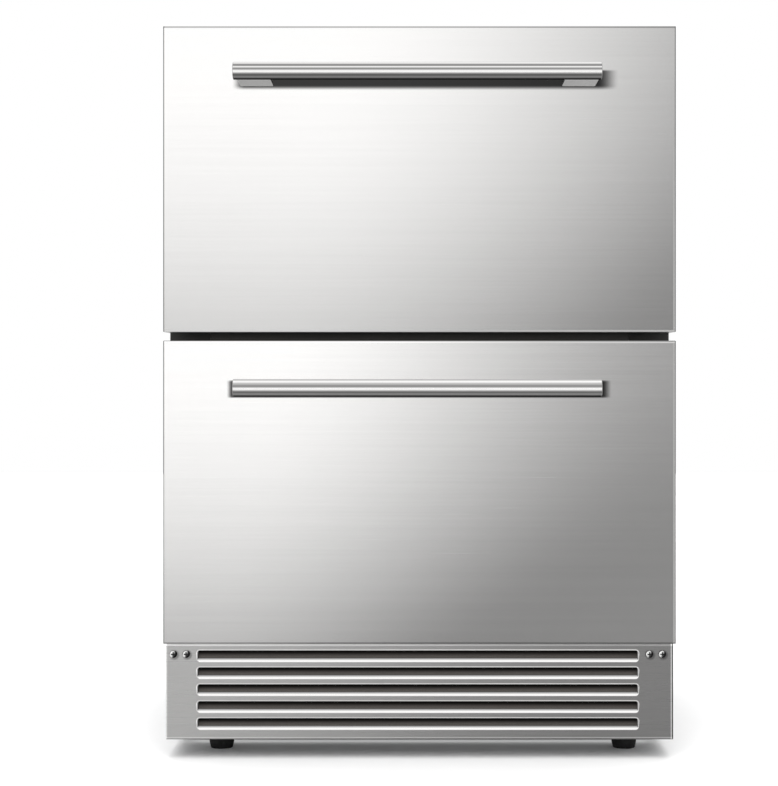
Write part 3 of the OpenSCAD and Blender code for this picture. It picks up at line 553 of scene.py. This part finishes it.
def zinc(name, level):
    """Zinc-plated sheet with a faint crystal spangle."""
    g = Graph(name)
    cells = g.node("TexVoronoi")
    g.put(g.coordinates(), cells.inputs["Vector"])
    cells.inputs["Scale"].default_value = 140.0
    facets = g.math("FRACT", g.times(cells.outputs["Distance"], 7.0))
    rolled = g.noise((900.0, 6.0, 900.0))
    value = g.times(g.remap(facets, 0.0, 1.0, 0.9, 1.08), g.spread(rolled, 0.93, 1.06), level)
    g.bump(rolled, 0.08, 0.00006)
    return g.surface((0.96, 0.99, 1.0), value, metallic=1.0, rough=g.spread(rolled, 0.3, 0.42))


def copper():
    """Drawn copper tube, duller where it is tarnished."""
    g = Graph("copper_tube")
    drawn = g.noise((500.0, 12.0, 12.0), detail=3.0)
    tarnish = g.noise(26.0, detail=4.0, roughness=0.65)
    g.bump(drawn, 0.1, 0.00006)
    value = g.times(g.spread(tarnish, 0.6, 1.05, tail=0.3), g.spread(drawn, 0.94, 1.05))
    return g.surface((0.80, 0.42, 0.28), value, metallic=1.0,
                     rough=g.spread(tarnish, 0.42, 0.24, tail=0.3))


def screw_metal(name):
    """Bright turned steel."""
    g = Graph(name)
    turned = g.noise(700.0)
    g.bump(turned, 0.06, 0.00005)
    return g.surface((0.80, 0.80, 0.79), g.spread(turned, 0.9, 1.08), metallic=1.0,
                     rough=g.spread(turned, 0.14, 0.24))


def recess_black():
    """The shade inside a driver recess."""
    g = Graph("recess_shade")
    worn = g.noise(1800.0)
    return g.surface((0.030, 0.030, 0.030), g.spread(worn, 0.8, 1.3, tail=0.3), metallic=0.6, rough=0.5)


def lamp_lens():
    """Ribbed and frosted cover of the lamp, with a faint glow."""
    g = Graph("lamp_lens")
    ribs = g.node("TexWave", wave_type="BANDS", bands_direction="X")
    g.put(g.coordinates(), ribs.inputs["Vector"])
    ribs.inputs["Scale"].default_value = 60.0
    g.bump(ribs.outputs[1], 0.3, 0.0004)
    frost = g.noise(900.0)
    return g.surface((0.93, 0.95, 0.97), g.spread(frost, 0.96, 1.02, tail=0.3), rough=0.35,
                     glow=(0.9, 0.95, 1.0), glow_strength=0.15)


def gloss_black(name):
    """Glossy black panel with a little dust."""
    g = Graph(name)
    dust = g.noise(300.0, detail=4.0, roughness=0.7)
    return g.surface((0.012, 0.012, 0.014), g.remap(dust, 0.4, 0.8, 0.9, 1.6),
                     rough=g.remap(dust, 0.4, 0.8, 0.08, 0.16), coat=0.6, coat_rough=0.06)


def foam():
    """Yellowish insulating foam."""
    g = Graph("polyurethane_foam")
    cells = g.noise(700.0, detail=4.0, roughness=0.7)
    g.bump(cells, 0.6, 0.0006)
    return g.surface((0.80, 0.70, 0.44), g.spread(cells, 0.85, 1.08, tail=0.3), rough=0.9)


# ---------- floor, world and lamps ----------

FLOOR_SIZE = 14.0
FLOOR_LIFT = 0.02  # a glow of the floor that only the eye sees
FLOOR_SEEN = 0.90  # the share of the light that the floor gives back to the eye
FLOOR_HIDDEN = 0.598  # and to everything else
AMBIENT = 0.72  # the room's light on surfaces that don't mirror it
SOFTBOX_LEVEL = 0.22
BELOW_POWER = 0.021  # in watts


def floor_paper():
    """White paper floor. The eye sees it lifted to white, with the object's shadow on it."""
    g = Graph("floor_paper")
    fibre = g.noise(40.0, detail=3.0)
    seen = g.node("LightPath").outputs["Is Camera Ray"]
    whiteness = g.times(g.spread(fibre, 0.99, 1.0, tail=0.3), g.mix(seen, FLOOR_HIDDEN, FLOOR_SEEN))
    return g.surface((1.0, 1.0, 1.0), whiteness, rough=0.9, specular=0.1, glow=(1.0, 1.0, 1.0),
                     glow_strength=g.mix(seen, 0.0, FLOOR_LIFT))


def add_floor():
    bm = bmesh.new()
    bmesh.ops.create_grid(bm, x_segments=2, y_segments=2, size=FLOOR_SIZE / 2)
    mesh = bpy.data.meshes.new("floor")
    bm.to_mesh(mesh)
    bm.free()
    floor = bpy.data.objects.new("floor", mesh)
    mesh.materials.append(floor_paper())
    bpy.context.collection.objects.link(floor)
    return floor


def add_world():
    """White to the eye; mirrored, a bright room in front and above and a dimmer one behind."""
    world = bpy.data.worlds.new("studio")
    g = Graph("studio", world)
    path = g.node("LightPath")
    _, y, z = g.xyz("Generated")
    front = g.remap(g.times(y, -1.0), -0.35, 0.30, 0.42, 1.0, smooth=True)
    room = g.math("MAXIMUM", front, g.rise(z, 0.45, 0.80))
    light = g.mix(path.outputs["Is Glossy Ray"], AMBIENT, room)
    seen = g.math("MAXIMUM", path.outputs["Is Camera Ray"], path.outputs["Is Transmission Ray"])
    g.put(g.mix(seen, light, 1.0), g.shader.inputs["Strength"])
    g.shader.inputs["Color"].default_value = (1.0, 1.0, 1.0, 1.0)
    world.cycles.sampling_method = "NONE"
    bpy.context.scene.world = world


def add_lamp(name, place, target, size, power=None, level=None):
    """A rectangular softbox of a power in watts, or of the level that it gives a white target."""
    place, target = Vector(place), Vector(target)
    data = bpy.data.lights.new(name, "AREA")
    data.shape = "RECTANGLE"
    data.size, data.size_y = size
    data.energy = power or level * math.pi ** 2 * (target - place).length_squared
    lamp = bpy.data.objects.new(name, data)
    lamp.location = place
    lamp.rotation_euler = (target - place).to_track_quat("-Z", "Y").to_euler()
    lamp.visible_glossy = False
    bpy.context.collection.objects.link(lamp)
    return lamp


def add_sun(name, direction, level, angle):
    """A sun, some degrees wide, that lights a white surface square to it to the given level."""
    data = bpy.data.lights.new(name, "SUN")
    data.angle = math.radians(angle)
    data.energy = level * math.pi
    sun = bpy.data.objects.new(name, data)
    sun.rotation_euler = Vector(direction).to_track_quat("-Z", "Y").to_euler()
    bpy.context.collection.objects.link(sun)
    return sun


def light_linked(lamp, obj, state):
    """Keeps a lamp off one object, or for it alone."""
    receivers = bpy.data.collections.new(lamp.name + "_receivers")
    receivers.objects.link(obj)
    receivers.collection_objects[0].light_linking.link_state = state
    lamp.light_linking.receiver_collection = receivers


def add_lights(floor):
    key = add_lamp("key_softbox", (-1.45, -5.0, 0.75), (0.0, face_y, 0.6), (0.8, 0.4),
                   level=SOFTBOX_LEVEL)
    top = add_lamp("top_softbox", (0.2, -1.6, 3.0), (0.0, 0.0, 0.5), (2.6, 2.0),
                   level=SOFTBOX_LEVEL)
    light_linked(key, floor, "EXCLUDE")
    light_linked(top, floor, "EXCLUDE")
    for sun in (add_sun("floor_sky_front", (0.05, 1.0, -0.95), 0.82, 55),
                add_sun("floor_sky_behind", (0.0, -0.5, -1.0), 0.26, 50),
                add_sun("floor_sky_above", (0.0, 0.0, -1.0), 0.12, 15)):
        light_linked(sun, floor, "INCLUDE")
    # the room's light that reaches the floor below the cabinet from behind
    below = add_lamp("light_from_behind", (0.0, -0.137, 0.012), (0.0, -0.145, 0.0), (0.56, 0.004),
                     power=BELOW_POWER)
    below.visible_camera = False
    light_linked(below, floor, "INCLUDE")


# ---------- mesh pieces ----------

AXES = {"X": Matrix.Rotation(math.radians(90), 4, "Y"), "Y": Matrix.Rotation(math.radians(-90), 4, "X"),
        "-Y": Matrix.Rotation(math.radians(90), 4, "X"), "Z": Matrix.Identity(4)}


def new_piece(name, bm, material, body, smooth_angle=35):
    """Turns a bmesh into an object that rides on a body, smooth but for edges over the angle."""
    bmesh.ops.recalc_face_normals(bm, faces=bm.faces)
    for face in bm.faces:
        face.smooth = True
    limit = math.radians(smooth_angle)
    for edge in bm.edges:
        edge.smooth = len(edge.link_faces) == 2 and edge.calc_face_angle() < limit
    mesh = bpy.data.meshes.new(name)
    bm.to_mesh(mesh)
    bm.free()
    mesh.materials.append(material)
    obj = bpy.data.objects.new(name, mesh)
    bpy.context.collection.objects.link(obj)
    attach(obj, body)
    return obj


def lathe(bm, profile, origin, axis, steps):
    """Adds a turned solid: profile is (radius, height) from the axis back to the axis."""
    place = Matrix.Translation(origin) @ AXES[axis]
    turns = [math.tau * i / steps for i in range(steps)]
    rings = []
    for radius, height in profile:
        around = [(radius * math.cos(a), radius * math.sin(a)) for a in turns]
        points = around if radius else [(0.0, 0.0)]
        rings.append([bm.verts.new(place @ Vector((*point, height))) for point in points])
    for one, two in zip(rings, rings[1:]):
        for i in range(steps):
            j = i + 1
            corners = [one[i % len(one)], one[j % len(one)], two[j % len(two)], two[i % len(two)]]
            corners = list(dict.fromkeys(corners))
            if len(corners) > 2:
                bm.faces.new(corners)


def arc(centre, radius, start, end, steps):
    """Points (r, h) on an arc, angles in degrees from the r axis."""
    turns = [math.radians(start + (end - start) * i / steps) for i in range(steps + 1)]
    return [(centre[0] + radius * math.cos(a), centre[1] + radius * math.sin(a)) for a in turns]


def add_handle_bar(side, material):
    """A solid bar with softly turned ends in place of the plain rod."""
    node = side + "_handle_bar"
    lo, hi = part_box(node)
    middle = (lo + hi) / 2
    radius = (hi.z - lo.z) / 2
    start, end = lo.x + 0.3 * MM, hi.x - 1.2 * MM  # the bar as photographed, inside the rod
    length = end - start
    edge = 1.1 * MM
    profile = [(0.0, 0.0)] + arc((radius - edge, edge), edge, -90, 0, 5)
    profile += arc((radius - edge, length - edge), edge, 0, 90, 5) + [(0.0, length)]
    bm = bmesh.new()
    lathe(bm, profile, Vector((start, middle.y, middle.z)), "X", steps=96)
    bar = new_piece(node + "_turned", bm, material, side + "_drawer", smooth_angle=60)
    bar.visible_glossy = False
    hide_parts(node)


def cross_prism(size, depth):
    """A cross-shaped prism about the origin, twice as high as the depth."""
    bm = bmesh.new()
    long, wide = size / 2, 0.3 * size / 2
    quarter = [(wide, long), (wide, wide), (long, wide)]
    outline = quarter + [(x, -z) for x, z in reversed(quarter)]
    outline += [(-x, z) for x, z in reversed(outline)]
    face = bm.faces.new([bm.verts.new((x, z, -depth)) for x, z in outline])
    raised = bmesh.ops.extrude_face_region(bm, geom=[face])
    tops = [item for item in raised["geom"] if isinstance(item, bmesh.types.BMVert)]
    bmesh.ops.translate(bm, vec=(0.0, 0.0, 2 * depth), verts=tops)
    return bm


def cut_recess(head, centre, axis, size, depth, material):
    """Cuts a cross-shaped driver recess into a screw's head and gives it its own material."""
    prism = cross_prism(size, depth)
    bmesh.ops.transform(prism, matrix=Matrix.Translation(centre) @ AXES[axis], verts=prism.verts)
    bmesh.ops.recalc_face_normals(prism, faces=prism.faces)
    mesh = bpy.data.meshes.new("recess_cutter")
    prism.to_mesh(mesh)
    prism.free()
    mesh.materials.append(material)
    cutter = bpy.data.objects.new("recess_cutter", mesh)
    bpy.context.collection.objects.link(cutter)
    cut = head.modifiers.new("recess", "BOOLEAN")
    cut.operation = "DIFFERENCE"
    cut.solver = "EXACT"
    cut.material_mode = "TRANSFER"
    cut.object = cutter
    bpy.context.view_layer.update()
    evaluated = head.evaluated_get(bpy.context.evaluated_depsgraph_get())
    result = bpy.data.meshes.new_from_object(evaluated)
    head.modifiers.clear()
    head.data = result
    bpy.data.objects.remove(cutter)


def add_pan_screws(name, places, axis, radius, height, material, recess, node):
    """Pan-head screws with a cross recess. places are the centres of the heads' seats."""
    rim = 0.32 * height
    dome = [(radius * math.cos(math.radians(a)), rim + (height - rim) * math.sin(math.radians(a)))
            for a in range(0, 90, 12)]
    profile = [(0.0, 0.0), (radius * 0.97, 0.0), (radius, rim * 0.4)] + dome + [(0.0, height)]
    for i, place in enumerate(places):
        bm = bmesh.new()
        lathe(bm, profile, Vector(place), axis, steps=40)
        head = new_piece(f"{name}_{i + 1}", bm, material, "cabinet")
        top = Vector(place) + (AXES[axis] @ Vector((0.0, 0.0, height)))
        cut_recess(head, top, axis, radius * 1.15, height * 0.6, recess)
    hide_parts(node)


PAD_H = 23.5 * MM
PAD_BODY_H = 17.6 * MM  # up to where the pad's shoulder starts
THREAD_PITCH = 1.25 * MM
THREAD_R = 4.95 * MM
THREAD_ROOT_R = 4.4 * MM
STUD_CHAMFER = 0.6 * MM


def thread_profile(start, end):
    """Half outline of a stud with rings for its thread, chamfered at its end."""
    profile = [(0.0, start), (THREAD_ROOT_R, start)]
    z = start + 0.5 * MM
    while z + THREAD_PITCH < end - 1 * MM:
        profile += [(THREAD_ROOT_R, z), (THREAD_R, z + 0.45 * THREAD_PITCH),
                    (THREAD_R, z + 0.55 * THREAD_PITCH)]
        z += THREAD_PITCH
    profile += [(THREAD_ROOT_R, z), (THREAD_ROOT_R, end - STUD_CHAMFER)]
    return profile + [(THREAD_ROOT_R - STUD_CHAMFER, end), (0.0, end)]


def add_foot(node, pad_rubber, stud_steel):
    """A tapered rubber foot with a threaded stud."""
    lo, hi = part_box(node)
    body = "levelling_" + node
    base = Vector(((lo.x + hi.x) / 2, (lo.y + hi.y) / 2, lo.z))
    r = (hi.x - lo.x) / 2
    profile = [(0.0, 0.0), (r - 2.0 * MM, 0.0), (r - 1.5 * MM, 0.6 * MM), (r - 0.4 * MM, 5.0 * MM),
               (r, 6.8 * MM), (r, PAD_BODY_H), (r - 0.8 * MM, 18.8 * MM), (r - 4.0 * MM, 19.5 * MM),
               (r - 5.0 * MM, PAD_H), (0.0, PAD_H)]
    bm = bmesh.new()
    lathe(bm, profile, base, "Z", steps=64)
    pad = new_piece(node + "_pad", bm, pad_rubber, body)
    bm = bmesh.new()
    lathe(bm, thread_profile(PAD_H - 0.5 * MM, hi.z - lo.z), base, "Z", steps=40)
    new_piece(node + "_stud", bm, stud_steel, body)
    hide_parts(node)


# ---------- dressing the frame ----------

REAR_SCREW_R = 4 * MM
PANEL_SCREW_Z = 312 * MM  # the back panel's lowest screws
COVER_SCREW_Z = 289 * MM  # the rear cover's upper screws


def dress(material, *names):
    for name in names:
        for slot in nodes[name].material_slots:
            slot.material = material


def nodes_named(*endings):
    return [name for name in nodes if name.endswith(endings)]


def dress_drawer_fronts():
    dress(front_steel("upper", UPPER_FALL, UPPER_LINES, UPPER_SHADE), "upper_front_skin")
    dress(front_steel("lower", LOWER_FALL, LOWER_LINES, LOWER_SHADE), "lower_front_skin")
    post_steel = plain_steel("post_steel", 0.42, rough=0.24, undersides=1.2)
    for side, bands in (("upper", UPPER_BANDS), ("lower", LOWER_BANDS)):
        add_handle_bar(side, bar_steel(side, bands))
        dress(post_steel, side + "_handle_posts")
        nodes[side + "_handle_posts"].visible_glossy = False


def dress_insides():
    """What shows when the drawers are open."""
    dress(foam(), "insulation_foam", *nodes_named("front_foam"))
    dress(rubber("grey_gasket", (0.12, 0.12, 0.125)), *nodes_named("_gasket"))
    dress(moulded("white_liner", (0.84, 0.85, 0.86), rough=0.32, texture=900.0),
          "inner_liner", "evaporator_cover", *nodes_named("front_liner"))
    dress(plain_steel("bin_steel", 0.55, rough=0.32), *nodes_named("bin_tray", "bin_sides"))
    dress(zinc("slide_zinc", 0.55), *nodes_named("slide_outer", "slide_middle", "slide_inner"))
    dress(screw_metal("bright_steel"), *nodes_named("slide_balls", "handle_screws"))
    dress(lamp_lens(), "led_lamp_cover")
    dress(gloss_black("display_black"), "control_panel")


def dress_cabinet():
    dress(painted("black_cabinet", (0.028, 0.028, 0.030), rough=0.42),
          "outer_wrapper", "back_panel", "rear_cover")
    dress(painted("black_frame", (0.040, 0.0385, 0.037), rough=0.5, specular=0.16), "front_frame")
    dress(moulded("black_mullion", (0.069, 0.066, 0.063), rough=0.42, specular=0.16), "centre_mullion")
    dress(zinc("zinc_sheet", 0.45), "base_pan", "compartment_plate", *nodes_named("corner_brackets"))
    lo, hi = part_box("rear_screws")
    low, top = lo.z + REAR_SCREW_R, hi.z - REAR_SCREW_R
    places = [(x, lo.y, z) for x in (lo.x + REAR_SCREW_R, hi.x - REAR_SCREW_R)
              for z in (low, COVER_SCREW_Z, PANEL_SCREW_Z, (PANEL_SCREW_Z + top) / 2, top)]
    add_pan_screws("rear_screw", places, "Y", REAR_SCREW_R, hi.y - lo.y,
                   screw_metal("rear_screw_steel"), recess_black(), "rear_screws")


def dress_feet():
    black_rubber = rubber("black_rubber", (0.012, 0.012, 0.012))
    stud_zinc = zinc("stud_zinc", 0.5)
    dress(black_rubber, "compressor_mounts")
    for name in [n for n in nodes if n.startswith("foot_")]:
        add_foot(name, black_rubber, stud_zinc)


def dress_grille():
    dress(grille_steel(), "toe_grille")
    dress(filter_foam(), "air_filter_pad")
    dress(moulded("filter_frame", (0.015, 0.015, 0.016), specular=0.2), "air_filter_frame")
    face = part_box("toe_grille")[0].y
    places = [(SLOT_MIDDLE + side * SCREW_X + step * SCREW_SPACING / 2, face, SCREW_Z)
              for side in (-1, 1) for step in (-1, 1)]
    add_pan_screws("toe_grille_screw", places, "-Y", SCREW_R, SCREW_HEAD_H,
                   grille_screw_metal(), recess_black(), "toe_grille_screws")


def dress_machinery():
    dress(moulded("black_plastic", (0.022, 0.022, 0.024)),
          "power_inlet", "evaporator_fan_frame", "condenser_fan_shroud")
    dress(moulded("grey_blades", (0.05, 0.052, 0.055), rough=0.4),
          "evaporator_fan_blade", "condenser_fan_blade")
    dress(moulded("grey_pan", (0.20, 0.205, 0.21)), "drain_pan")
    dress(plain_steel("coil_aluminium", 0.62, rough=0.35, across="X", tint=(0.98, 0.99, 1.0)),
          "evaporator_coil")
    dress(painted("black_coil", (0.02, 0.02, 0.022), rough=0.4), "condenser_coil")
    dress(painted("compressor_paint", (0.014, 0.014, 0.016), rough=0.3, coat=0.3), "compressor")
    dress(copper(), "refrigerant_lines")


add_camera()
floor = add_floor()
add_world()
add_lights(floor)
dress_drawer_fronts()
dress_grille()
dress_feet()
dress_cabinet()
dress_insides()
dress_machinery()

bpy.context.scene.view_settings.view_transform = "Standard"
